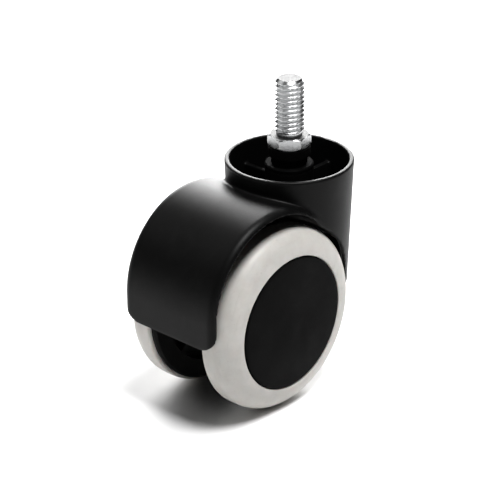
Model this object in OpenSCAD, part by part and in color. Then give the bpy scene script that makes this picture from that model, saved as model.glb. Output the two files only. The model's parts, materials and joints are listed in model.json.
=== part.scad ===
// Hooded twin-wheel castor with a threaded stem.
// Origin: on the swivel axis, in the shoulder plane where the thread starts.
// +Z runs up the stem, +X is the side the stem leads on, and the axle lies along Y.

/* [Overall] */
// Wheel diameter over the tread
wheel_d = 50; // [49:0.5:51]
// Height from the floor to the stem's shoulder
build_h = 67.1; // [66.6:0.1:67.6]
// Distance from the swivel axis back to the axle
trail = 19; // [18.8:0.1:19.5]
// Overall width over the two hub caps' rims
wheels_w = 38; // [37.8:0.1:39]

/* [Stem] */
// Thread major diameter
thread_d = 8; // [7.5:0.1:8.5]
// Thread length above the shoulder
thread_len = 15.5; // [12:0.5:25]
// Chamfer at the thread's end
thread_chamfer = 1; // [0.5:0.1:1.5]
// Hexagon across its flats
hex_af = 10; // [9.5:0.5:11]
// Hexagon height
hex_h = 3.2; // [3:0.1:3.6]
// Depth of the hexagon's corner chamfers
hex_chamfer = 0.6; // [0.4:0.1:0.8]
// Turn of the hexagon about the stem, from a corner on +X
hex_turn = 13; // [0:1:59]
// Swivel pin diameter below the hexagon
pin_d = 8; // [7.9:0.1:8]
// Depth of the pin's tip below the shoulder
pin_depth = 36.8; // [36:0.1:36.9]
// Width of the snap ring's groove
groove_w = 1.4; // [1.2:0.1:1.6]
// Depth of the groove's middle below the shoulder
groove_depth = 27.5; // [27:0.1:28]

/* [Swivel socket] */
// Outer diameter of the socket tube
socket_d = 12.9; // [12.6:0.1:13.2]
// Depth of the socket's flanged top below the cup's rim
socket_drop = 1.2; // [1:0.1:1.4]
// Outer diameter of the bushes, and the socket's bore
bush_d = 10.4; // [10.2:0.1:10.5]
// Thickness of the upper bush's flange
bush_flange_t = 1; // [0.8:0.1:1.2]
// Radial play of a turning pin in its bush
running_play = 0.04; // [0.02:0.01:0.08]
// Diameter of the dust ring under the hexagon
dust_ring_d = 11.2; // [10.8:0.1:12.4]
// Thickness of the dust ring's wide part
dust_ring_t = 2.8; // [2:0.1:3.2]
// Diameter of the dust ring's neck above the socket
dust_neck_d = 9.6; // [9:0.1:10]
// Thickness of the hardened pad under the pin's tip
thrust_pad_t = 1.5; // [1:0.1:2]

/* [Neck cup] */
// Outer radius of the cup at its rim
cup_r = 17.1; // [16.9:0.1:17.6]
// Depth of the rim below the stem's shoulder
rim_depth = 6.8; // [6.6:0.1:7]
// Wall thickness of the cup
cup_wall = 1.3; // [1.2:0.1:1.5]
// Draft of the cup's wall, in mm of radius per mm of height
cup_draft = 0.04; // [0.03:0.01:0.05]
// Depth of the four ribs' tops below the rim
rib_drop = 6; // [5.6:0.1:6.4]
// Thickness of the ribs inside the cup
rib_t = 1.6; // [1.2:0.1:2]

/* [Hood] */
// Outer radius of the hood
hood_r = 24; // [23.8:0.1:24.4]
// Height of the hood's centre above the axle
hood_rise = 7.3; // [7:0.1:7.6]
// Distance from the axle back to the hood's centre
hood_back = 3.2; // [3:0.1:3.6]
// Width of the hood along the axle
hood_w = 32.4; // [31.6:0.2:32.8]
// Wall thickness of the hood
hood_wall = 1.5; // [1.3:0.1:1.6]
// Radius on the hood's side edges
hood_edge_r = 2.5; // [1.5:0.1:2.6]
// Height of the hood's lower edge above the floor
skirt_h = 25.1; // [24.5:0.1:25.5]
// Radius on the rear skirt's lower corners
skirt_corner_r = 5.5; // [3:0.5:6]
// Thickness of the web between the wheels
web_t = 3; // [2.5:0.5:4]
// Radial gap between the wheels and the wall inside the cup
arch_gap = 1; // [0.8:0.1:1.2]
// Thickness of that wall
arch_wall = 1; // [0.8:0.1:1.2]

/* [Wheels] */
// Distance from the centre plane to a wheel's inner face
wheel_inner_y = 8; // [7.8:0.1:8.2]
// Radius of the hub cap
cap_r = 18.1; // [17.6:0.1:18.4]
// Where the tread's flat crown ends and its shoulder starts
crown_end_y = 13; // [12.5:0.5:13.5]
// Where the tread starts, outboard of the core's flange
tread_start_y = 9.4; // [9.2:0.1:9.8]
// Outer radius of the core's rim under the tread
rim_r = 21; // [20.8:0.1:21.5]
// Thickness of the core's rim
rim_t = 2.2; // [2:0.1:2.4]
// Radius of the core's inner flange
flange_r = 24; // [23.6:0.1:24.2]
// Number of spokes on the core
spokes = 8; // [6:1:12]
// Axle diameter
axle_d = 8; // [7.9:0.1:8]

/* [Hidden] */
$fn = 96;

eps = 0.01;
wheel_r = wheel_d / 2;
floor_z = -build_h;
axle_z = floor_z + wheel_r;
hood_x = -trail - hood_back;
hood_z = axle_z + hood_rise;
hood_inner_r = hood_r - hood_wall;
rim_z = -rim_depth;
skirt_z = floor_z + skirt_h;
rib_top_z = rim_z - rib_drop;
thread_r = thread_d / 2;
pin_r = pin_d / 2;
axle_r = axle_d / 2;
bush_r = bush_d / 2;
bush_bore_r = pin_r + running_play;
hub_bore_r = axle_r + running_play;
hub_bush_r = axle_r + 1.1;
outer_y = wheels_w / 2;
arch_r = wheel_r + arch_gap;
play = 0.3;

// Levels of the swivel stack, from the hexagon down
hex_bottom_z = -hex_h;
socket_top_z = rim_z - socket_drop;
flange_bottom_z = socket_top_z - bush_flange_t;
upper_bush_end_z = -groove_depth + 2;
lower_bush_top_z = -groove_depth - 2;
lower_bush_end_z = -pin_depth - play;
pad_bottom_z = lower_bush_end_z - thrust_pad_t;

// Stations along the axle, from the centre plane out
boss_end_y = wheel_inner_y - 1.1;
spacer_t = 0.7;
hub_end_y = outer_y - 3.1;
clip_y = hub_end_y + play;
clip_t = 0.5;
axle_end_y = outer_y - 2;
cap_seat_y = outer_y - 1.5;
core_end_y = outer_y - 1.8;
web_inner_y = 11.2;
web_outer_y = 13;

// Cup wall's outer radius at height z
function cup_radius(z) = cup_r - cup_draft * (rim_z - z);

// Points of a circular arc in the plane
function arc(cx, cy, rx, ry, from, to, steps) =
    [for (i = [0 : steps]) let (a = from + (to - from) * i / steps) [cx + rx * cos(a), cy + ry * sin(a)]];

// Turns a profile drawn as [radius, y] around the axle, on the left or the right side
module turned_on_axle(side) {
    translate([-trail, 0, axle_z])
        mirror([0, side < 0 ? 1 : 0, 0])
            rotate([-90, 0, 0])
                rotate_extrude()
                    children();
}

// A ring about the axle between two stations along it
module axle_ring(side, outer, inner, from_y, to_y) {
    turned_on_axle(side)
        translate([inner, from_y])
            square([outer - inner, to_y - from_y]);
}

// A cylinder parallel to the axle, centred on the middle plane
module cross_cylinder(x, z, r, width) {
    translate([x, width / 2, z])
        rotate([90, 0, 0])
            cylinder(r = r, h = width);
}

// A ring about the swivel axis
module stem_ring(outer, inner, bottom, top) {
    translate([0, 0, bottom])
        rotate_extrude()
            translate([inner, 0])
                square([outer - inner, top - bottom]);
}

// ---- Stem, which screws into the chair ----

module threaded_stem() {
    groove_floor_r = pin_r - 0.9;
    groove_top = -groove_depth + groove_w / 2;
    groove_bottom = -groove_depth - groove_w / 2;
    tip_r = 1;
    corner_r = hex_af / 2 / cos(30);
    cone_r = corner_r + 0.2;
    cone_h = hex_chamfer * (cone_r - hex_af / 2) / (corner_r - hex_af / 2);
    color("silver") {
        rotate_extrude()
            polygon([
                [0, -pin_depth], [pin_r - tip_r, -pin_depth], [pin_r, -pin_depth + tip_r],
                [pin_r, groove_bottom], [groove_floor_r, groove_bottom],
                [groove_floor_r, groove_top], [pin_r, groove_top],
                [pin_r, -eps], [thread_r, -eps],
                [thread_r, thread_len - thread_chamfer],
                [thread_r - thread_chamfer, thread_len], [0, thread_len]
            ]);
        // Hexagon with its corners turned back to a cone, top and bottom
        intersection() {
            translate([0, 0, hex_bottom_z])
                rotate([0, 0, hex_turn])
                    cylinder(r = corner_r, h = hex_h, $fn = 6);
            rotate_extrude()
                polygon([
                    [0, hex_bottom_z], [hex_af / 2, hex_bottom_z], [cone_r, hex_bottom_z + cone_h],
                    [cone_r, -cone_h], [hex_af / 2, 0], [0, 0]
                ]);
        }
    }
}

// Split spring ring in the pin's groove
module snap_ring() {
    wire_r = 0.6;
    gap_angle = 40;
    color("dimgray")
        translate([0, 0, -groove_depth])
            rotate([0, 0, gap_angle / 2])
                rotate_extrude(angle = 360 - gap_angle)
                    translate([pin_r + 0.3, 0])
                        circle(r = wire_r, $fn = 24);
}

// Soft stepped ring on the pin, which keeps dirt out of the bush
module dust_ring() {
    wide_r = dust_ring_d / 2;
    neck_r = dust_neck_d / 2;
    wide_bottom_z = hex_bottom_z - dust_ring_t;
    bottom_z = socket_top_z + play;
    edge = 0.3;
    color("#1c1c1c")
        rotate_extrude()
            polygon([
                [bush_bore_r, bottom_z], [neck_r, bottom_z], [neck_r, wide_bottom_z],
                [wide_r - edge, wide_bottom_z], [wide_r, wide_bottom_z + edge],
                [wide_r, hex_bottom_z], [bush_bore_r, hex_bottom_z]
            ]);
}

// ---- Swivel socket ----

// Bush whose flange covers the socket tube's top
module swivel_bush() {
    flange_r = socket_d / 2;
    edge = 0.3;
    color("#1c1c1c")
        rotate_extrude()
            polygon([
                [bush_bore_r, upper_bush_end_z], [bush_r, upper_bush_end_z], [bush_r, flange_bottom_z],
                [flange_r, flange_bottom_z], [flange_r, socket_top_z - edge],
                [flange_r - edge, socket_top_z], [bush_bore_r, socket_top_z]
            ]);
}

module lower_bush() {
    color("#f0f0e6")
        stem_ring(bush_r, bush_bore_r, lower_bush_end_z, lower_bush_top_z);
}

module thrust_pad() {
    color("slategray")
        translate([0, 0, pad_bottom_z])
            cylinder(r = bush_r - 0.05, h = thrust_pad_t);
}

// ---- Housing: hood, neck cup, socket tube and web, moulded as one ----

// Outside of the hood above its centre, with rounded side edges
module hood_dome(r, width, edge) {
    translate([hood_x, 0, hood_z])
        rotate([-90, 0, 0])
            rotate_extrude()
                polygon(concat(
                    [[0, -width / 2]],
                    arc(r - edge, -width / 2 + edge, edge, edge, -90, 0, 6),
                    arc(r - edge, width / 2 - edge, edge, edge, 0, 90, 6),
                    [[0, width / 2]]
                ));
}

// Straight rear wall below the hood's centre, with the same rounded edges
module rear_skirt(r, width, edge) {
    rear_x = hood_x - r;
    intersection() {
        translate([0, 0, skirt_z])
            linear_extrude(hood_z - skirt_z)
                polygon(concat(
                    [[hood_x, -width / 2]],
                    [[hood_x, width / 2]],
                    arc(rear_x + edge, width / 2 - edge, edge, edge, 90, 180, 6),
                    arc(rear_x + edge, -width / 2 + edge, edge, edge, 180, 270, 6)
                ));
        // Lower corners rounded off across the width
        translate([rear_x - 1, 0, 0])
            rotate([90, 0, 90])
                linear_extrude(r + 2)
                    polygon(concat(
                        [[width / 2 + 1, hood_z + 1]],
                        [[-width / 2 - 1, hood_z + 1], [-width / 2, skirt_z + skirt_corner_r]],
                        arc(-width / 2 + skirt_corner_r, skirt_z + skirt_corner_r,
                            skirt_corner_r, skirt_corner_r, 180, 270, 10),
                        arc(width / 2 - skirt_corner_r, skirt_z + skirt_corner_r,
                            skirt_corner_r, skirt_corner_r, 270, 360, 10)
                    ));
    }
}

// The hood's shell, open at the sides, and cut away around the wheels and inside the cup
module hood_shell() {
    difference() {
        union() {
            intersection() {
                hood_dome(hood_r, hood_w, hood_edge_r);
                translate([hood_x - 40, -30, hood_z])
                    cube([40 - hood_x, 60, 40]);
            }
            rear_skirt(hood_r, hood_w, hood_edge_r);
        }
        cross_cylinder(hood_x, hood_z, hood_inner_r, 60);
        translate([hood_x - hood_inner_r, -30, skirt_z - 1])
            cube([hood_inner_r + 40, 60, hood_z - skirt_z + 1]);
        cross_cylinder(-trail, axle_z, arch_r, 60);
        cup_inside(skirt_z, 10);
    }
}

// Space inside the cup's wall from a height up
module cup_inside(bottom, above) {
    translate([0, 0, bottom])
        cylinder(
            r1 = cup_radius(bottom) - cup_wall,
            r2 = cup_radius(rim_z + above) - cup_wall,
            h = rim_z + above - bottom
        );
}

// Cup wall with a bevelled rim; in front it runs down as the housing's skirt
module cup_shell() {
    bevel = 0.45;
    difference() {
        rotate_extrude()
            polygon([
                [cup_radius(skirt_z) - cup_wall, skirt_z], [cup_radius(skirt_z), skirt_z],
                [cup_radius(rim_z - bevel), rim_z - bevel], [cup_r - bevel, rim_z],
                [cup_r - cup_wall + bevel / 2, rim_z],
                [cup_radius(rim_z - bevel) - cup_wall, rim_z - bevel]
            ]);
        cross_cylinder(-trail, axle_z, arch_r, 60);
    }
}

// Wall over the wheels inside the cup, and the cup's flat floor in front of it
module cup_floor() {
    plate_t = 1.2;
    plate_top_z = axle_z + sqrt(pow(arch_r + arch_wall, 2) - trail * trail);
    intersection() {
        union() {
            difference() {
                cross_cylinder(-trail, axle_z, arch_r + arch_wall, 60);
                cross_cylinder(-trail, axle_z, arch_r, 62);
                translate([0, -30, axle_z - 40])
                    cube([60, 60, 80]);
            }
            translate([-eps, -30, plate_top_z - plate_t])
                cube([30, 60, plate_t]);
        }
        cup_inside(skirt_z, 0);
    }
}

// Four ribs that tie the socket tube to the cup's wall; the front one runs the skirt's full height
module cup_ribs() {
    intersection() {
        union() {
            cup_rib(0);
            difference() {
                for (turn = [90, 180, 270])
                    cup_rib(turn);
                cross_cylinder(-trail, axle_z, arch_r, 60);
            }
        }
        cup_inside(skirt_z, 0);
    }
}

module cup_rib(turn) {
    rotate([0, 0, turn])
        translate([0, -rib_t / 2, skirt_z])
            cube([cup_r + 1, rib_t, rib_top_z - skirt_z]);
}

// Plate between the wheels, from the hood's rear wall to the socket
module web() {
    behind_cup_x = -cup_r + cup_wall;
    intersection() {
        union() {
            cross_cylinder(hood_x, hood_z, hood_inner_r + eps, web_t);
            translate([hood_x - hood_inner_r - eps, -web_t / 2, skirt_z])
                cube([hood_inner_r + 40, web_t, hood_z - skirt_z]);
        }
        union() {
            translate([-60, -30, skirt_z])
                cube([60, 60, rib_top_z - skirt_z]);
            translate([-60, -30, skirt_z])
                cube([60 + behind_cup_x, 60, 60]);
        }
        union() {
            cross_cylinder(-trail, axle_z, arch_r + arch_wall / 2, web_t);
            translate([-60, -30, skirt_z])
                cube([60 + behind_cup_x, 60, 60]);
        }
    }
}

module housing() {
    color("#202020")
        difference() {
            union() {
                hood_shell();
                cup_shell();
                cup_floor();
                cup_ribs();
                web();
                translate([0, 0, skirt_z])
                    cylinder(d = socket_d, h = flange_bottom_z - skirt_z);
                cross_cylinder(-trail, axle_z, axle_r + 4, 2 * boss_end_y);
            }
            translate([0, 0, pad_bottom_z])
                cylinder(r = bush_r, h = 60);
            cross_cylinder(-trail, axle_z, axle_r, 40);
        }
}

// ---- Axle and wheels ----

module axle() {
    chamfer = 0.6;
    color("silver")
        translate([-trail, 0, axle_z])
            rotate([-90, 0, 0])
                rotate_extrude()
                    polygon([
                        [0, -axle_end_y], [axle_r - chamfer, -axle_end_y],
                        [axle_r, -axle_end_y + chamfer], [axle_r, axle_end_y - chamfer],
                        [axle_r - chamfer, axle_end_y], [0, axle_end_y]
                    ]);
}

// Nylon core: hub, web with spokes, rim and inner flange
module wheel_core(side) {
    hub_r = hub_bush_r + 2.4;
    rim_inner_r = rim_r - rim_t;
    color("#2a2a2a")
        difference() {
            union() {
                axle_ring(side, hub_r, hub_bush_r, wheel_inner_y, hub_end_y);
                axle_ring(side, rim_r, rim_inner_r, wheel_inner_y, core_end_y);
                axle_ring(side, rim_r, hub_r - eps, web_inner_y, web_outer_y);
                turned_on_axle(side)
                    polygon([
                        [rim_r - 1, wheel_inner_y], [flange_r - 0.6, wheel_inner_y],
                        [flange_r, wheel_inner_y + 0.6], [flange_r, tread_start_y],
                        [rim_r - 1, tread_start_y]
                    ]);
                core_spokes(side, hub_r, rim_inner_r);
            }
            core_recess(side);
        }
}

// Spokes on both faces of the core's web
module core_spokes(side, from_r, to_r) {
    spoke_t = 1.6;
    spoke_inner_y = wheel_inner_y + 0.6;
    spoke_outer_y = hub_end_y - 1;
    translate([-trail, 0, axle_z])
        mirror([0, side < 0 ? 1 : 0, 0])
            for (i = [0 : spokes - 1])
                rotate([0, i * 360 / spokes, 0])
                    translate([from_r - 0.5, spoke_inner_y, -spoke_t / 2])
                        cube([to_r - from_r + 1, spoke_outer_y - spoke_inner_y, spoke_t]);
}

// Groove inside the rim for the hub cap's snap bead
module core_recess(side) {
    axle_ring(side, rim_r - rim_t + 0.5, rim_r - rim_t - 1, core_end_y - 2.4, core_end_y - 1);
}

// Soft tread with a flat crown and a rounded outer shoulder
module tread(side) {
    inner_round = 0.8;
    lip_y = outer_y - 0.3;
    color("#d6d2cb")
        turned_on_axle(side)
            polygon(concat(
                [[rim_r, tread_start_y]],
                arc(wheel_r - inner_round, tread_start_y + inner_round, inner_round, inner_round, -90, 0, 4),
                arc(cap_r, crown_end_y, wheel_r - cap_r, lip_y - crown_end_y, 0, 84, 14),
                [[cap_r, lip_y]],
                [[cap_r, core_end_y], [rim_r, core_end_y]]
            ));
}

// Shallow domed cap that closes the hub; its bead snaps into the rim's groove
module hub_cap(side) {
    skirt_t = 1.2;
    dome = 0.6;
    edge_r = cap_r - 0.1;
    edge_y = outer_y - 0.4;
    bead_r = rim_r - rim_t + 0.3;
    bead_y = core_end_y - 2.2;
    sphere_r = (edge_r * edge_r + dome * dome) / (2 * dome);
    sweep = asin(edge_r / sphere_r);
    color("#1e1e1e")
        turned_on_axle(side)
            polygon(concat(
                [[0, cap_seat_y + 0.3], [edge_r - skirt_t, cap_seat_y], [edge_r - skirt_t, bead_y]],
                [[bead_r - 0.2, bead_y], [bead_r, bead_y + 0.3], [edge_r, bead_y + 1], [edge_r, edge_y]],
                arc(0, edge_y + dome - sphere_r, sphere_r, sphere_r, 90 - sweep, 90, 12)
            ));
}

module hub_bush(side) {
    color("#e8e4d8")
        axle_ring(side, hub_bush_r, hub_bore_r, wheel_inner_y, hub_end_y);
}

// Washer between the housing's boss and the wheel
module spacer(side) {
    color("#e8e4d8")
        axle_ring(side, axle_r + 3, axle_r, boss_end_y, boss_end_y + spacer_t);
}

// Push-on star clip that keeps the wheel on the axle
module axle_clip(side) {
    slots = 6;
    clip_r = axle_r + 2.4;
    color("darkgray")
        difference() {
            axle_ring(side, clip_r, axle_r, clip_y, clip_y + clip_t);
            translate([-trail, 0, axle_z])
                mirror([0, side < 0 ? 1 : 0, 0])
                    for (i = [0 : slots - 1])
                        rotate([0, i * 360 / slots, 0])
                            translate([axle_r - 0.5, clip_y - 1, -0.4])
                                cube([1.6, clip_t + 2, 0.8]);
        }
}

module left_wheel_core() { wheel_core(1); }
module left_tread() { tread(1); }
module left_hub_cap() { hub_cap(1); }
module left_hub_bush() { hub_bush(1); }
module left_spacer() { spacer(1); }
module left_axle_clip() { axle_clip(1); }
module right_wheel_core() { wheel_core(-1); }
module right_tread() { tread(-1); }
module right_hub_cap() { hub_cap(-1); }
module right_hub_bush() { hub_bush(-1); }
module right_spacer() { spacer(-1); }
module right_axle_clip() { axle_clip(-1); }

threaded_stem();
snap_ring();
dust_ring();
swivel_bush();
lower_bush();
thrust_pad();
housing();
axle();
left_wheel_core();
left_tread();
left_hub_cap();
left_hub_bush();
left_spacer();
left_axle_clip();
right_wheel_core();
right_tread();
right_hub_cap();
right_hub_bush();
right_spacer();
right_axle_clip();
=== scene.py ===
"""Looks of the hooded twin-wheel castor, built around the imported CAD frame."""

import json
import math

import bmesh
import bpy
import numpy as np
from mathutils import Matrix, Vector


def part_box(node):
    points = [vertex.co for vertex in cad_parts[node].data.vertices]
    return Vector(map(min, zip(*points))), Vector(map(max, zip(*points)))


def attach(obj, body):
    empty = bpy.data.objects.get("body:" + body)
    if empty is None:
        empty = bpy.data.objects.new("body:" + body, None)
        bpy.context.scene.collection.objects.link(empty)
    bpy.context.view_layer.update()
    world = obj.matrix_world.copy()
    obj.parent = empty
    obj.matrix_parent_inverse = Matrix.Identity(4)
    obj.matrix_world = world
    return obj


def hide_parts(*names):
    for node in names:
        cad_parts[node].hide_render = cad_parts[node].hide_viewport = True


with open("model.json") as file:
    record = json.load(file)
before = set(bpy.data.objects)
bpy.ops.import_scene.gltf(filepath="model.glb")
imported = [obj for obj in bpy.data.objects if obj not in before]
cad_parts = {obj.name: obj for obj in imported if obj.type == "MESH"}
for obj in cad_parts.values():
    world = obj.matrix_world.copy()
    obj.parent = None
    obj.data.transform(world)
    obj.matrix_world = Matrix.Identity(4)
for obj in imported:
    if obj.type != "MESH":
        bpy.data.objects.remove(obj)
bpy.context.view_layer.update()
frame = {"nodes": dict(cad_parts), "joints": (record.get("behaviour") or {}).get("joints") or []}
nodes = frame["nodes"]
MM = 0.001
TAU = 2 * math.pi


# ---------------------------------------------------------------- sizes, in millimetres, from the frame

def node_box(name):
    """Lowest and highest corner of a CAD node, in millimetres."""
    low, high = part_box(name)
    return np.array(low) / MM, np.array(high) / MM


wheel_joint = next(j for j in frame["joints"] if j["name"] == "left_wheel_spin")
axle_x, _, axle_z = (v / MM for v in wheel_joint["pos_m"])
tread_low, tread_high = node_box("left_tread")
_, cap_high = node_box("left_hub_cap")
stem_low, stem_high = node_box("threaded_stem")
house_low, house_high = node_box("housing")
_, bush_high = node_box("swivel_bush")

# Castor sizes that the frame doesn't hold
SKIRT_HEIGHT, HOOD_BACK, HOOD_RISE = 25.1, 3.2, 7.3

floor_z = tread_low[2]
wheel_r = (tread_high[2] - tread_low[2]) / 2
cap_face_y = cap_high[1]
tread_start_y, tread_end_y = tread_low[1], tread_high[1]
rim_z = house_high[2]
skirt_z = floor_z + SKIRT_HEIGHT
cup_r = house_high[1]
hood_x, hood_z = axle_x - HOOD_BACK, axle_z + HOOD_RISE
hood_r = hood_x - house_low[0]
socket_r = bush_high[0]
socket_top_z = bush_high[2]


# ---------------------------------------------------------------- mesh helpers

SMOOTH_ANGLE, POLAR_SMOOTH_ANGLE, FIELD_SMOOTH_ANGLE = 35, 30, 55


def new_mesh_object(name, verts_mm, faces, smooth_angle=SMOOTH_ANGLE):
    """An object from points in millimetres, smooth except across edges sharper than the angle."""
    mesh = bpy.data.meshes.new(name)
    mesh.from_pydata([(x * MM, y * MM, z * MM) for x, y, z in verts_mm], [], faces)
    mesh.validate()
    mesh.update()
    mesh.shade_smooth()
    mesh.set_sharp_from_angle(angle=math.radians(smooth_angle))
    obj = bpy.data.objects.new(name, mesh)
    bpy.context.scene.collection.objects.link(obj)
    return obj


def weld(obj, distance_mm=0.001):
    """Merges coincident points, drops empty faces and turns all faces outwards."""
    work = bmesh.new()
    work.from_mesh(obj.data)
    bmesh.ops.remove_doubles(work, verts=work.verts, dist=distance_mm * MM)
    bmesh.ops.dissolve_degenerate(work, edges=work.edges, dist=distance_mm * MM)
    bmesh.ops.recalc_face_normals(work, faces=work.faces)
    work.to_mesh(obj.data)
    work.free()
    return obj


def arc(cx, cy, rx, ry, start, end, steps):
    """Points of a circular or elliptical arc, angles in degrees."""
    angles = np.radians(np.linspace(start, end, steps + 1))
    return [(cx + rx * math.cos(a), cy + ry * math.sin(a)) for a in angles]


def lathe_on_axle(name, profile, segments=144):
    """Turns a closed profile of (radius, y) around the axle."""
    verts, faces, n = [], [], len(profile)
    for i in range(segments):
        a = TAU * i / segments
        verts += [(axle_x + r * math.cos(a), y, axle_z + r * math.sin(a)) for r, y in profile]
    for i in range(segments):
        j = (i + 1) % segments
        faces += [(i * n + k, i * n + (k + 1) % n, j * n + (k + 1) % n, j * n + k) for k in range(n)]
    return weld(new_mesh_object(name, verts, faces))


def polar_solid(name, levels, radius, segments, first_angle):
    """A closed solid about the swivel axis from radius(angles, z) at rising heights."""
    angles = first_angle + TAU * np.arange(segments) / segments
    verts, faces, top = [(0, 0, levels[0])], [], len(levels) * segments + 1
    for z in levels:
        r = radius(angles, z)
        verts += list(zip(r * np.cos(angles), r * np.sin(angles), [z] * segments))
    verts.append((0, 0, levels[-1]))
    for i in range(segments):
        j = (i + 1) % segments
        faces.append((0, 1 + j, 1 + i))
        for k in range(len(levels) - 1):
            low = 1 + k * segments
            faces.append((low + i, low + j, low + segments + j, low + segments + i))
        faces.append((top - segments + i, top - segments + j, top))
    return new_mesh_object(name, verts, faces, POLAR_SMOOTH_ANGLE)


# ---------------------------------------------------------------- solids drawn as distance fields

def soft_min(a, b, fillet):
    """Union of two fields with a fillet where they meet."""
    h = np.maximum(fillet - np.abs(a - b), 0) / fillet
    return np.minimum(a, b) - h * h * fillet / 4


def soft_max(a, b, edge):
    """Intersection of two fields with a softened edge."""
    return -soft_min(-a, -b, edge)


def rounded(u, v, radius):
    """Inside of two walls at once, with a rounded edge where they meet."""
    p, q = u + radius, v + radius
    return np.hypot(np.maximum(p, 0), np.maximum(q, 0)) + np.minimum(np.maximum(p, q), 0) - radius


PULLS, SLOPE_STEP, LEAST_SLOPE = 4, 0.02, 0.25


def surface_of(name, field, low, high, cell):
    """The zero surface of a field(x, y, z) as a quad mesh, pulled exactly onto the field."""
    axes = [np.arange(a - cell, b + 1.5 * cell, cell) for a, b in zip(low, high)]
    values = field(*np.meshgrid(*axes, indexing="ij"))
    inside = values < 0
    shape = np.array(values.shape)
    total, count = np.zeros((*(shape - 1), 3)), np.zeros(shape - 1)
    crossings = []
    for axis in range(3):
        a = [slice(None)] * 3
        b = [slice(None)] * 3
        a[axis], b[axis] = slice(0, -1), slice(1, None)
        a, b = tuple(a), tuple(b)
        i, j, k = np.nonzero(inside[a] != inside[b])
        v0, v1 = values[a][i, j, k], values[b][i, j, k]
        point = np.stack([axes[0][i], axes[1][j], axes[2][k]], 1)
        point[:, axis] += cell * v0 / (v0 - v1)
        crossings.append((i, j, k, inside[a][i, j, k]))
        u, v = [n for n in range(3) if n != axis]
        for du in (0, 1):
            for dv in (0, 1):
                at = np.stack([i, j, k], 1)
                at[:, u] -= du
                at[:, v] -= dv
                ok = ((at >= 0) & (at < shape - 1)).all(1)
                where = tuple(at[ok].T)
                np.add.at(total, where, point[ok])
                np.add.at(count, where, 1)
    number = np.full(count.shape, -1)
    used = count > 0
    number[used] = np.arange(used.sum())
    verts = total[used] / count[used][:, None]
    for _ in range(PULLS):
        here = field(*verts.T)
        slope = np.stack([
            (field(*(verts + step).T) - field(*(verts - step).T)) / (2 * SLOPE_STEP)
            for step in SLOPE_STEP * np.eye(3)
        ], 1)
        move = -here[:, None] * slope / np.maximum((slope ** 2).sum(1), LEAST_SLOPE)[:, None]
        verts = verts + np.clip(move, -cell / 3, cell / 3)
    faces = []
    for axis, (i, j, k, first) in enumerate(crossings):
        u, v = (axis + 1) % 3, (axis + 2) % 3
        ring = []
        for du, dv in ((0, 0), (1, 0), (1, 1), (0, 1)):
            at = np.stack([i, j, k], 1)
            at[:, u] -= du
            at[:, v] -= dv
            ring.append(number[tuple(at.T)])
        quad = np.stack(ring, 1)
        faces.append(np.where(first[:, None], quad, quad[:, ::-1]))
    return new_mesh_object(name, verts, np.concatenate(faces).tolist(), FIELD_SMOOTH_ANGLE)


# ---------------------------------------------------------------- materials

class Nodes:
    """Short calls for building a node material."""

    def __init__(self, name):
        self.material = bpy.data.materials.new(name)
        self.material.use_nodes = True
        self.tree = self.material.node_tree
        self.shader = self.tree.nodes["Principled BSDF"]
        coords = self.tree.nodes.new("ShaderNodeTexCoord")
        self.place = coords.outputs["Object"]

    def node(self, kind, **settings):
        made = self.tree.nodes.new(kind)
        for key, value in settings.items():
            setattr(made, key, value)
        return made

    def link(self, a, b):
        self.tree.links.new(a, b)

    def stretched(self, scale):
        mapping = self.node("ShaderNodeMapping")
        mapping.inputs["Scale"].default_value = scale
        self.link(self.place, mapping.inputs["Vector"])
        return mapping.outputs["Vector"]

    def noise(self, scale, detail=4.0, rough=0.55, vector=None):
        tex = self.node("ShaderNodeTexNoise")
        tex.inputs["Scale"].default_value = scale
        tex.inputs["Detail"].default_value = detail
        tex.inputs["Roughness"].default_value = rough
        self.link(vector or self.place, tex.inputs["Vector"])
        return tex.outputs["Fac"]

    def upward(self):
        """How squarely the surface faces up."""
        split = self.node("ShaderNodeSeparateXYZ")
        self.link(self.node("ShaderNodeNewGeometry").outputs["Normal"], split.inputs["Vector"])
        return split.outputs["Z"]

    def ramp(self, value, stops):
        """Colour stops of (position, (r, g, b)) or (position, grey)."""
        made = self.node("ShaderNodeValToRGB")
        elements = made.color_ramp.elements
        while len(elements) < len(stops):
            elements.new(0.5)
        for element, (position, colour) in zip(elements, stops):
            rgb = colour if isinstance(colour, tuple) else (colour,) * 3
            element.position = position
            element.color = (*rgb, 1)
        self.link(value, made.inputs["Fac"])
        return made.outputs["Color"]

    def mix(self, kind, factor, a, b):
        made = self.node("ShaderNodeMix", data_type="RGBA", blend_type=kind)
        for socket, value in (("Factor", factor), ("A", a), ("B", b)):
            target = [s for s in made.inputs if s.name == socket and s.enabled][0]
            if hasattr(value, "node"):
                self.link(value, target)
            elif isinstance(value, tuple):
                target.default_value = (*value, 1)
            else:
                target.default_value = value
        return [s for s in made.outputs if s.enabled][0]

    def bump(self, height, strength, distance_mm, under=None):
        made = self.node("ShaderNodeBump")
        made.inputs["Strength"].default_value = strength
        made.inputs["Distance"].default_value = distance_mm * MM
        self.link(height, made.inputs["Height"])
        if under is not None:
            self.link(under, made.inputs["Normal"])
        return made.outputs["Normal"]

    def finish(self, colour, roughness, normal, metallic=0.0, **fixed):
        self.link(colour, self.shader.inputs["Base Color"])
        self.link(roughness, self.shader.inputs["Roughness"])
        self.link(normal, self.shader.inputs["Normal"])
        self.shader.inputs["Metallic"].default_value = metallic
        for key, value in fixed.items():
            self.shader.inputs[key.replace("_", " ")].default_value = value
        return self.material


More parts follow.
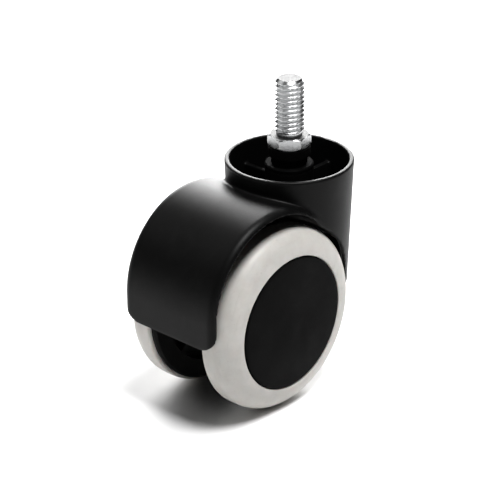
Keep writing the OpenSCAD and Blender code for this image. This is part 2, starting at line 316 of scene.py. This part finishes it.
def moulded_plastic(name, dark, light, rough_low, rough_high, grain_mm=0.35, grain=0.35, shine=0.12):
    """Textured moulded plastic: fine spark-eroded grain, faint flow marks, dust and rubbed patches."""
    n = Nodes(name)
    grain_scale = 1 / (grain_mm * MM)
    fine = n.noise(grain_scale, 3.0, 0.6)
    broad = n.noise(60.0, 5.0, 0.6)
    flow = n.noise(1.0, 4.0, 0.5, n.stretched((180.0, 900.0, 180.0)))
    rubbed = n.ramp(n.noise(140.0, 6.0, 0.65), [(0.52, 0.0), (0.72, 1.0)])
    base = n.ramp(broad, [(0.3, dark), (0.75, light)])
    speck = n.ramp(fine, [(0.35, 0.82), (0.7, 1.18)])
    base = n.mix("MULTIPLY", 0.7, base, speck)
    base = n.mix("ADD", 0.003, base, rubbed)
    rough = n.ramp(n.mix("MIX", 0.5, broad, fine), [(0.3, rough_high), (0.7, rough_low)])
    normal = n.bump(flow, 0.06, 0.08)
    normal = n.bump(fine, grain, 0.05, normal)
    return n.finish(base, rough, normal, Specular_IOR_Level=shine, IOR=1.49)


def soft_rubber(name):
    """Pale polyurethane tread: satin, with a used band, faint scuffs and moulding mottle."""
    n = Nodes(name)
    mottle = n.noise(220.0, 6.0, 0.6)
    scuff = n.noise(1.0, 5.0, 0.7, n.stretched((160.0, 1400.0, 160.0)))
    fine = n.noise(4200.0, 2.0, 0.5)
    base = n.ramp(mottle, [(0.3, (0.48, 0.465, 0.44)), (0.7, (0.55, 0.535, 0.51))])
    marks = n.ramp(scuff, [(0.55, 1.0), (0.78, 0.84)])
    base = n.mix("MULTIPLY", 0.6, base, marks)
    specks = n.ramp(n.noise(1500.0, 2.0, 0.5), [(0.66, 1.0), (0.74, 0.8)])
    base = n.mix("MULTIPLY", 0.5, base, specks)
    rough = n.ramp(n.mix("MIX", 0.5, mottle, scuff), [(0.3, 0.42), (0.7, 0.6)])
    normal = n.bump(mottle, 0.15, 0.1)
    normal = n.bump(fine, 0.2, 0.03, normal)
    return n.finish(base, rough, normal, IOR=1.5, Subsurface_Weight=0.08, Subsurface_Scale=0.002)


def plated_steel(name, tint=(0.72, 0.725, 0.73), rough_low=0.2, rough_high=0.38):
    """Bright zinc plate over turned steel: ring marks across the axis, faint clouding, and faces that point
    up painted dark and duller (painted shade).
    """
    n = Nodes(name)
    rings = n.noise(1.0, 3.0, 0.6, n.stretched((60.0, 60.0, 9000.0)))
    cloud = n.noise(260.0, 5.0, 0.6)
    pits = n.noise(2600.0, 3.0, 0.6)
    dull = tuple(0.78 * v for v in tint)
    base = n.ramp(cloud, [(0.3, dull), (0.65, tint)])
    base = n.mix("MULTIPLY", 0.4, base, n.ramp(pits, [(0.3, 0.8), (0.6, 1.0)]))
    rough = n.ramp(n.mix("MIX", 0.5, cloud, rings), [(0.3, rough_low), (0.7, rough_high)])
    # Faces that point up get a dark, dull colour: painted shade on the stem's end face and its upward ledges.
    up_facing_painted_shade = n.ramp(n.upward(), [(0.93, 0.0), (0.98, 1.0)])
    base = n.mix("MIX", up_facing_painted_shade, base, n.ramp(pits, [(0.3, 0.07), (0.6, 0.13)]))
    rough = n.mix("MIX", up_facing_painted_shade, rough, n.ramp(pits, [(0.3, 0.62), (0.7, 0.52)]))
    normal = n.bump(rings, 0.12, 0.03)
    normal = n.bump(pits, 0.08, 0.02, normal)
    return n.finish(base, rough, normal, metallic=1.0)


def blued_steel(name):
    """The same steel, darker and duller, for spring parts."""
    return plated_steel(name, (0.30, 0.31, 0.34), 0.28, 0.45)


def natural_acetal(name):
    """Off-white bush plastic with a waxy surface."""
    n = Nodes(name)
    cloud = n.noise(180.0, 4.0, 0.5)
    fine = n.noise(3000.0, 2.0, 0.5)
    base = n.ramp(cloud, [(0.3, (0.76, 0.74, 0.66)), (0.7, (0.86, 0.84, 0.77))])
    rough = n.ramp(n.mix("MIX", 0.5, cloud, fine), [(0.3, 0.32), (0.7, 0.48)])
    return n.finish(base, rough, n.bump(fine, 0.15, 0.02), IOR=1.48, Subsurface_Weight=0.05)


def studio_floor(name):
    """Plain pale sweep with the faintest unevenness."""
    n = Nodes(name)
    cloud = n.noise(6.0, 3.0, 0.5)
    base = n.ramp(cloud, [(0.3, 0.90), (0.7, 0.92)])
    rough = n.ramp(cloud, [(0.3, 0.85), (0.7, 0.95)])
    return n.finish(base, rough, n.bump(cloud, 0.02, 0.1), Specular_IOR_Level=0.1)


housing_black = moulded_plastic("housing_black", 0.003, 0.006, 0.40, 0.50, shine=0.18)
core_black = moulded_plastic("core_black", 0.006, 0.010, 0.45, 0.6, 0.5, 0.2)
cap_black = moulded_plastic("cap_black", 0.003, 0.006, 0.5, 0.66, 0.3, 0.5, 0.06)
collar_black = moulded_plastic("collar_black", 0.003, 0.006, 0.6, 0.75, 0.5, 0.15, 0.02)
tread_grey = soft_rubber("tread_grey")
zinc = plated_steel("zinc", (0.62, 0.625, 0.63))
spring_blue = blued_steel("spring_blue")
acetal = natural_acetal("acetal")
floor_white = studio_floor("floor_white")


def dress(obj, material):
    """Gives every face of an object one material."""
    obj.data.materials.clear()
    obj.data.materials.append(material)


NODE_MATERIALS = {
    "threaded_stem": zinc, "snap_ring": spring_blue, "dust_ring": collar_black, "swivel_bush": collar_black,
    "lower_bush": acetal, "thrust_pad": spring_blue, "housing": housing_black, "axle": zinc,
}
SIDE_MATERIALS = {
    "wheel_core": core_black, "tread": tread_grey, "hub_cap": cap_black,
    "hub_bush": acetal, "spacer": acetal, "axle_clip": spring_blue,
}
for name, material in NODE_MATERIALS.items():
    nodes[name].material_slots[0].material = material
for side in ("left", "right"):
    for part, material in SIDE_MATERIALS.items():
        nodes[f"{side}_{part}"].material_slots[0].material = material


# ---------------------------------------------------------------- housing

CUP_WALL, CUP_DRAFT, HOOD_WALL, HOOD_W, HOOD_EDGE = 1.3, 0.04, 1.5, 32.4, 2.5
SKIRT_CORNER, ARCH_R, ARCH_WALL = 5.5, 26, 1
RIB_T, RIB_DROP, WEB_T, PLATE_T = 1.6, 6, 3, 1.2
BORE_R, BORE_END_Z, BOSS_R, BOSS_END_Y, AXLE_R = 5.2, -38.6, 8, 6.9, 4
HOUSING_CELL = 0.45

# Softened edges, fillets between joined shapes, and how far they reach into the wall they join
EDGE, FINE_EDGE, HOLE_EDGE, RIM_EDGE, BOSS_EDGE = 0.3, 0.2, 0.15, 0.45, 0.4
FILLET, RIB_FILLET, WALL_FILLET = 1.0, 0.6, 0.8
WALL_OVERLAP, WEB_OVERLAP, TUBE_DROP = 0.4, 0.3, 1


def housing_field(x, y, z):
    """Hood, neck cup, ribs, web and socket tube as one moulding with small fillets."""
    side = np.abs(y)
    from_axle = np.hypot(x - axle_x, z - axle_z)
    drum = np.hypot(x - hood_x, np.maximum(z - hood_z, 0))
    radius = np.hypot(x, y)
    cup_here = cup_r - CUP_DRAFT * (rim_z - z)
    in_cup = radius - (cup_here - CUP_WALL)
    above_skirt = skirt_z - z
    clear_of_wheels = ARCH_R - from_axle
    rib_top = rim_z - RIB_DROP

    hollow = drum - (hood_r - HOOD_WALL)
    hood = soft_max(rounded(drum - hood_r, side - HOOD_W / 2, HOOD_EDGE), -hollow, EDGE)
    hood = soft_max(hood, rounded(side - HOOD_W / 2, above_skirt, SKIRT_CORNER), EDGE)
    hood = soft_max(hood, clear_of_wheels, EDGE)
    hood = soft_max(np.maximum(hood, x), -in_cup, FINE_EDGE)

    cup = soft_max(rounded(radius - cup_here, z - rim_z, RIM_EDGE), -in_cup, EDGE)
    cup = soft_max(soft_max(cup, above_skirt, EDGE), clear_of_wheels, EDGE)

    plate_top = axle_z + math.sqrt((ARCH_R + ARCH_WALL) ** 2 - axle_x ** 2)
    arch = np.maximum(np.maximum(from_axle - ARCH_R - ARCH_WALL, clear_of_wheels), x)
    plate = np.maximum(np.maximum(z - plate_top, plate_top - PLATE_T - z), -x)
    cup_floor = np.maximum(np.minimum(arch, plate), in_cup - WALL_OVERLAP)

    along_x = rounded(side - RIB_T / 2, z - rib_top, EDGE)
    along_y = rounded(np.abs(x) - RIB_T / 2, z - rib_top, EDGE)
    back_ribs = np.maximum(np.minimum(np.maximum(along_x, x), along_y), clear_of_wheels)
    ribs = np.minimum(np.maximum(along_x, -x), back_ribs)
    ribs = np.maximum(np.maximum(ribs, in_cup - WALL_OVERLAP), above_skirt)

    web = np.maximum(rounded(side - WEB_T / 2, z - rib_top, EDGE), hollow - WEB_OVERLAP)
    web = np.maximum(np.maximum(web, x), above_skirt)
    web = np.maximum(web, np.minimum(from_axle - ARCH_R - ARCH_WALL / 2, x + cup_r - CUP_WALL))

    tube_top = socket_top_z - TUBE_DROP
    tube = np.maximum(rounded(radius - socket_r, z - tube_top, HOLE_EDGE), above_skirt)
    boss = rounded(from_axle - BOSS_R, side - BOSS_END_Y, BOSS_EDGE)

    solid = soft_min(soft_min(hood, cup, FILLET), cup_floor, WALL_FILLET)
    solid = soft_min(soft_min(solid, ribs, RIB_FILLET), web, WALL_FILLET)
    solid = soft_min(soft_min(solid, tube, WALL_FILLET), boss, FILLET)
    bore = np.maximum(radius - BORE_R, BORE_END_Z - z)
    return soft_max(soft_max(solid, -bore, HOLE_EDGE), AXLE_R - from_axle, HOLE_EDGE)


def make_housing():
    piece = surface_of("housing_shell", housing_field, house_low, house_high, HOUSING_CELL)
    dress(piece, housing_black)
    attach(piece, "housing")
    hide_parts("housing")


# ---------------------------------------------------------------- stem

HEX_AF, HEX_HEIGHT, HEX_TURN, HEX_CHAMFER = 10, 3.2, math.radians(13), 0.6
PITCH, THREAD_DEPTH, NECK_R, NECK_TOP, RUN_IN = 1.25, 0.72, 3.45, 0.9, 0.5
GROOVE_Z, GROOVE_W, GROOVE_DEPTH, PIN_R, END_CHAMFER = -27.5, 1.4, 0.9, 4, 1

# Flat crest and flank of the thread, as parts of half a turn
CREST, FLANK = 0.12, 0.68

# Height of the steps that stand for sharp corners, and how finely the stem is cut
STEP, LEVELS_PER_TURN, STEM_SEGMENTS = 0.002, 16, 180


def hexagon_radius(angles, z, bottom):
    """A hexagon whose corners are turned off at both ends."""
    flat_r = HEX_AF / 2
    corner_r = flat_r / math.cos(TAU / 12)
    turn = (angles - HEX_TURN) % (TAU / 6) - TAU / 12
    cone = flat_r + min(-z, z - bottom) * (corner_r - flat_r) / HEX_CHAMFER
    return np.minimum(flat_r / np.cos(turn), cone)


def thread_radius(angles, z):
    """M8 coarse thread: flat crests and roots, 60 degree flanks, and a neck at the shoulder."""
    phase = np.abs((z / PITCH - angles / TAU) % 1 - 0.5) * 2
    cut = THREAD_DEPTH * np.clip((phase - CREST) / FLANK, 0, 1)
    run_in = min(max((z - NECK_TOP) / RUN_IN, 0), 1)
    r = NECK_R + (PIN_R - cut - NECK_R) * run_in
    return np.minimum(r, stem_high[2] - z + PIN_R - END_CHAMFER)


def make_stem():
    bottom, hex_bottom, top = stem_low[2], -HEX_HEIGHT, stem_high[2]
    groove_low, groove_high = GROOVE_Z - GROOVE_W / 2, GROOVE_Z + GROOVE_W / 2
    pin = [bottom, bottom + 0.3, bottom + END_CHAMFER, groove_low - STEP, groove_low, groove_high,
           groove_high + STEP, hex_bottom - STEP]
    ramp = np.linspace(0, HEX_CHAMFER, 7)
    hexagon = [*(hex_bottom + ramp), *np.linspace(hex_bottom + 0.9, -0.9, 4), *(-ramp[::-1])]
    thread = [STEP, 0.15, 0.5, *np.arange(NECK_TOP, top, PITCH / LEVELS_PER_TURN), top]

    def radius(angles, z):
        if z > 0:
            return thread_radius(angles, z)
        if z >= hex_bottom:
            return hexagon_radius(angles, z, hex_bottom)
        if groove_low <= z <= groove_high:
            return np.full(len(angles), PIN_R - GROOVE_DEPTH)
        return np.full(len(angles), min(PIN_R, PIN_R - END_CHAMFER + (z - bottom)))

    levels = [*pin, *hexagon, *thread]
    piece = polar_solid("threaded_stem_turned", levels, radius, STEM_SEGMENTS, HEX_TURN)
    dress(piece, zinc)
    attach(piece, "stem")
    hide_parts("threaded_stem")


# ---------------------------------------------------------------- treads and hub caps

CROWN_END_Y, RIM_R, CORE_END_Y, CAP_R = 13, 21, 17.2, 18.1
TREAD_CORNER, TREAD_GAP, LIP_DROP, LIP_H = 0.9, 0.1, 0.25, 0.2
CAP_GAP, CAP_DOME, CAP_WALL, CAP_ROUND = 0.15, 0.62, 1.2, 0.35
CAP_SKIRT, CAP_BEAD, CAP_BEAD_TOP = 2.2, 0.4, 1.2


def mirrored(profile, side):
    return [(r, side * y) for r, y in profile]


def make_treads_and_caps():
    lip = tread_end_y - LIP_DROP
    opening_r = CAP_R + TREAD_GAP
    tread = [(RIM_R, tread_start_y)]
    tread += arc(wheel_r - TREAD_CORNER, tread_start_y + TREAD_CORNER, TREAD_CORNER, TREAD_CORNER, -90, 0, 8)
    tread += arc(opening_r, CROWN_END_Y, wheel_r - opening_r, lip - CROWN_END_Y, 0, 88, 28)
    tread += [(opening_r, lip - LIP_H), (opening_r, CORE_END_Y), (RIM_R, CORE_END_Y)]
    dome = cap_face_y - CAP_DOME
    edge = CAP_R - CAP_GAP
    inner = edge - CAP_WALL
    skirt = CORE_END_Y - CAP_SKIRT
    cap = [(0, CORE_END_Y + 0.5), (inner, CORE_END_Y + 0.3), (inner, skirt)]
    cap += [(edge + CAP_BEAD, skirt), (edge, CORE_END_Y - CAP_BEAD_TOP), (edge, dome - CAP_ROUND)]
    cap += arc(edge - CAP_ROUND, dome - CAP_ROUND, CAP_ROUND, CAP_ROUND, 0, 80, 6)
    cap += [(edge * f, dome + CAP_DOME * (1 - f * f)) for f in np.linspace(0.96, 0, 18)]
    for name, side in (("left", 1), ("right", -1)):
        for part, profile, material, slot in (("tread", tread, tread_grey, "soft_tread"),
                                              ("hub_cap", cap, cap_black, "cap_plastic")):
            piece = lathe_on_axle(f"{name}_{part}_turned", mirrored(profile, side))
            dress(piece, material)
            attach(piece, f"{name}_wheel")
            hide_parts(f"{name}_{part}")


make_housing()
make_stem()
make_treads_and_caps()


# ---------------------------------------------------------------- floor, light and camera

FLOOR_HALF, WORLD_STRENGTH = 1500, 0.03
VIEW_AZIMUTH, VIEW_ELEVATION, VIEW_ROLL, VIEW_DISTANCE = -47.18, 25.47, -0.19, 600
VIEW_CENTRE_X, VIEW_CENTRE_HEIGHT = -15.25, 38.67
SENSOR_WIDTH, LENS, CLIP_START_MM = 36, 164.9, 10


def make_floor():
    corners = ((-1, -1), (1, -1), (1, 1), (-1, 1))
    verts = [(FLOOR_HALF * x, FLOOR_HALF * y, floor_z) for x, y in corners]
    floor = new_mesh_object("studio_floor", verts, [(0, 1, 2, 3)])
    dress(floor, floor_white)


def area_light(name, place, aim, size, watts):
    """A square soft box; place and aim in millimetres."""
    light = bpy.data.lights.new(name, "AREA")
    light.shape = "SQUARE"
    light.size = size * MM
    light.energy = watts
    obj = bpy.data.objects.new(name, light)
    bpy.context.scene.collection.objects.link(obj)
    obj.location = Vector(place) * MM
    obj.rotation_euler = (Vector(aim) - Vector(place)).to_track_quat("-Z", "Y").to_euler()


def make_lights():
    middle = (-15, 0, -35)
    area_light("overhead", (-40, -330, 1180), middle, size=420, watts=17.0)
    area_light("backdrop", (600, 560, 280), middle, size=640, watts=14.0)
    area_light("rear_fill", (-330, 620, 640), middle, size=600, watts=1.0)
    world = bpy.data.worlds.new("studio")
    world.use_nodes = True
    background = world.node_tree.nodes["Background"]
    background.inputs["Color"].default_value = (1, 1, 1, 1)
    background.inputs["Strength"].default_value = WORLD_STRENGTH
    bpy.context.scene.world = world


def make_camera():
    """The photographed view: azimuth 47 degrees, elevation 25, through a long lens."""
    azimuth, elevation, roll = (math.radians(v) for v in (VIEW_AZIMUTH, VIEW_ELEVATION, VIEW_ROLL))
    target = Vector((VIEW_CENTRE_X, 0, floor_z + VIEW_CENTRE_HEIGHT))
    back = Vector((math.sin(azimuth) * math.cos(elevation), -math.cos(azimuth) * math.cos(elevation),
                   math.sin(elevation)))
    camera = bpy.data.cameras.new("camera")
    camera.sensor_width = SENSOR_WIDTH
    camera.lens = LENS
    camera.clip_start = CLIP_START_MM * MM
    obj = bpy.data.objects.new("camera", camera)
    bpy.context.scene.collection.objects.link(obj)
    obj.location = (target + back * VIEW_DISTANCE) * MM
    turn = (-back).to_track_quat("-Z", "Y").to_matrix().to_4x4()
    spin = Matrix.Rotation(roll, 4, "Z")
    obj.rotation_euler = (turn @ spin).to_euler()
    bpy.context.scene.camera = obj


make_floor()
make_lights()
make_camera()
bpy.context.scene.view_settings.view_transform = "Standard"
bpy.context.scene.view_settings.look = "Medium High Contrast"
